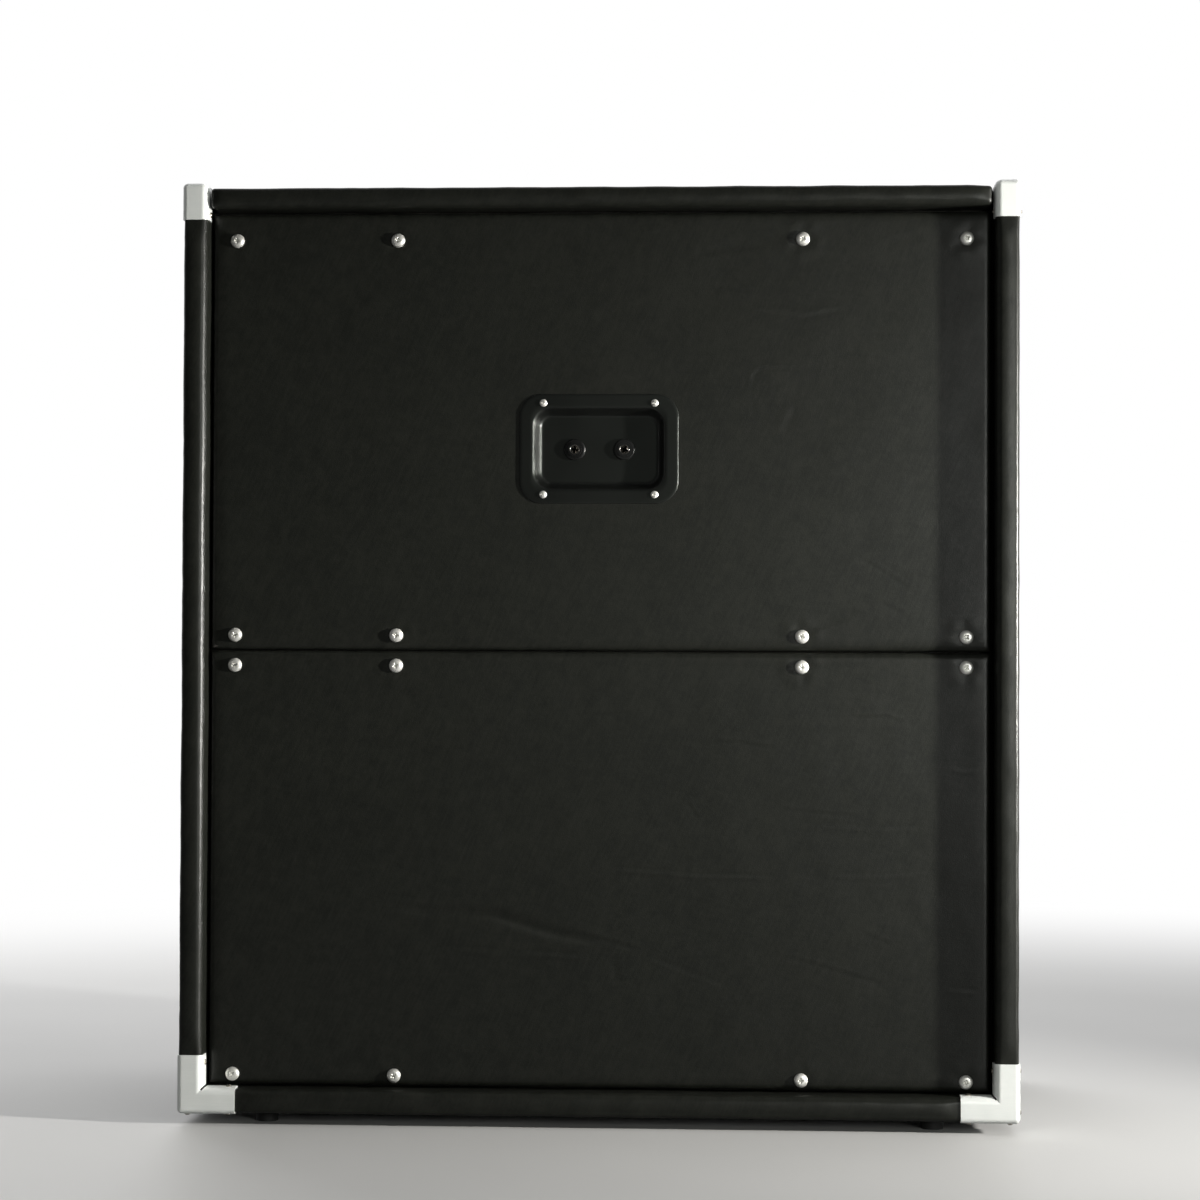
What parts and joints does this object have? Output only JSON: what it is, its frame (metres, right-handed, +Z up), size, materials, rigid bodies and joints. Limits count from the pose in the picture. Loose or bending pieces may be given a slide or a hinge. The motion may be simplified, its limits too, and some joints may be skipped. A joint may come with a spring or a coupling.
{
  "type": "guitar speaker cabinet",
  "caption": "Tall closed-back guitar speaker cabinet in black grained covering with metal corners, a two-part screwed back, a recessed jack dish, side handles and rubber feet.",
  "frame": {"origin": "on the floor under the middle of the case", "axes": "+Z up, +Y towards the grille at the front, so the jacks at the rear face -Y; left is -X, as seen from the rear"},
  "size_m": [0.7232, 0.3624, 0.8072],
  "materials": {
    "black_covering": "fine leather-like grain, semi-gloss",
    "plywood": "birch plywood, bare inside",
    "stained_board": "stained black, matt",
    "softwood": "planed strip",
    "corner_metal": "satin nickel plate, rounded bends",
    "bright_zinc": "bright zinc plate",
    "nickel_screw": "nickel plate",
    "black_screw": "black zinc",
    "dish_paint": "satin black powder coat",
    "jack_plastic": "moulded black nylon",
    "contact_metal": "nickel plate",
    "foot_rubber": "matt black",
    "handle_plastic": "fine moulded texture",
    "grip_rubber": "soft satin",
    "grille_cloth": "tight basket weave",
    "hook_pad": "hook-and-loop",
    "basket_paint": "gloss black",
    "gasket_board": "pressed cork and paper",
    "motor_steel": "yellow zinc plate",
    "ferrite": "ground ferrite",
    "soft_ring": "doped cloth",
    "terminal_board": "phenolic strip with tinned tabs",
    "cone_paper": "pressed paper",
    "lead_sheath": "twin lead in a dark sheath"
  },
  "bodies": {
    "case": {"back_cleats": "stained_board", "back_screws": "bright_zinc", "baffle_board": "stained_board", "baffle_cleats": "softwood", "bottom_board": "plywood", "bottom_covering": "black_covering", "centre_post": "softwood", "centre_rail": "stained_board", "corner_screws": "nickel_screw", "foot_screws": "bright_zinc", "front_left_lower_corner": "corner_metal", "front_left_upper_cap": "corner_metal", "front_right_lower_corner": "corner_metal", "front_right_upper_cap": "corner_metal", "grille_cloth": "grille_cloth", "grille_frame": "stained_board", "grille_pads": "hook_pad", "handle_screws": "black_screw", "jack_dish": "dish_paint", "jack_dish_screws": "bright_zinc", "jack_lugs": "contact_metal", "jack_nuts": "jack_plastic", "jack_sleeves": "contact_metal", "left_handle_dish": "handle_plastic", "left_handle_grip": "grip_rubber", "left_jack": "jack_plastic", "left_side_board": "plywood", "left_side_covering": "black_covering", "lower_back_board": "stained_board", "lower_back_covering": "black_covering", "rear_left_lower_corner": "corner_metal", "rear_left_upper_cap": "corner_metal", "rear_right_lower_corner": "corner_metal", "rear_right_upper_cap": "corner_metal", "right_handle_dish": "handle_plastic", "right_handle_grip": "grip_rubber", "right_jack": "jack_plastic", "right_side_board": "plywood", "right_side_covering": "black_covering", "rubber_feet": "foot_rubber", "speaker_baskets": "basket_paint", "speaker_front_plates": "motor_steel", "speaker_gaskets": "gasket_board", "speaker_leads": "lead_sheath", "speaker_magnets": "ferrite", "speaker_screws": "bright_zinc", "speaker_spiders": "soft_ring", "speaker_surrounds": "soft_ring", "speaker_terminals": "terminal_board", "speaker_yokes": "motor_steel", "top_board": "plywood", "top_covering": "black_covering", "upper_back_board": "stained_board", "upper_back_covering": "black_covering"},
    "upper_left_diaphragm": {"upper_left_cone": "cone_paper"},
    "upper_right_diaphragm": {"upper_right_cone": "cone_paper"},
    "lower_left_diaphragm": {"lower_left_cone": "cone_paper"},
    "lower_right_diaphragm": {"lower_right_cone": "cone_paper"}
  },
  "joints": [
    {"name": "upper_left_cone_travel", "type": "slide", "parent": "case", "child": "upper_left_diaphragm", "axis": [0, 1, 0], "range_m": [-0.003, 0.003], "stiffness_N_per_m": 6000, "deforming": ["speaker_surrounds", "speaker_spiders"]},
    {"name": "upper_right_cone_travel", "type": "slide", "parent": "case", "child": "upper_right_diaphragm", "axis": [0, 1, 0], "range_m": [-0.003, 0.003], "stiffness_N_per_m": 6000, "deforming": ["speaker_surrounds", "speaker_spiders"]},
    {"name": "lower_left_cone_travel", "type": "slide", "parent": "case", "child": "lower_left_diaphragm", "axis": [0, 1, 0], "range_m": [-0.003, 0.003], "stiffness_N_per_m": 6000, "deforming": ["speaker_surrounds", "speaker_spiders"]},
    {"name": "lower_right_cone_travel", "type": "slide", "parent": "case", "child": "lower_right_diaphragm", "axis": [0, 1, 0], "range_m": [-0.003, 0.003], "stiffness_N_per_m": 6000, "deforming": ["speaker_surrounds", "speaker_spiders"]}
  ]
}
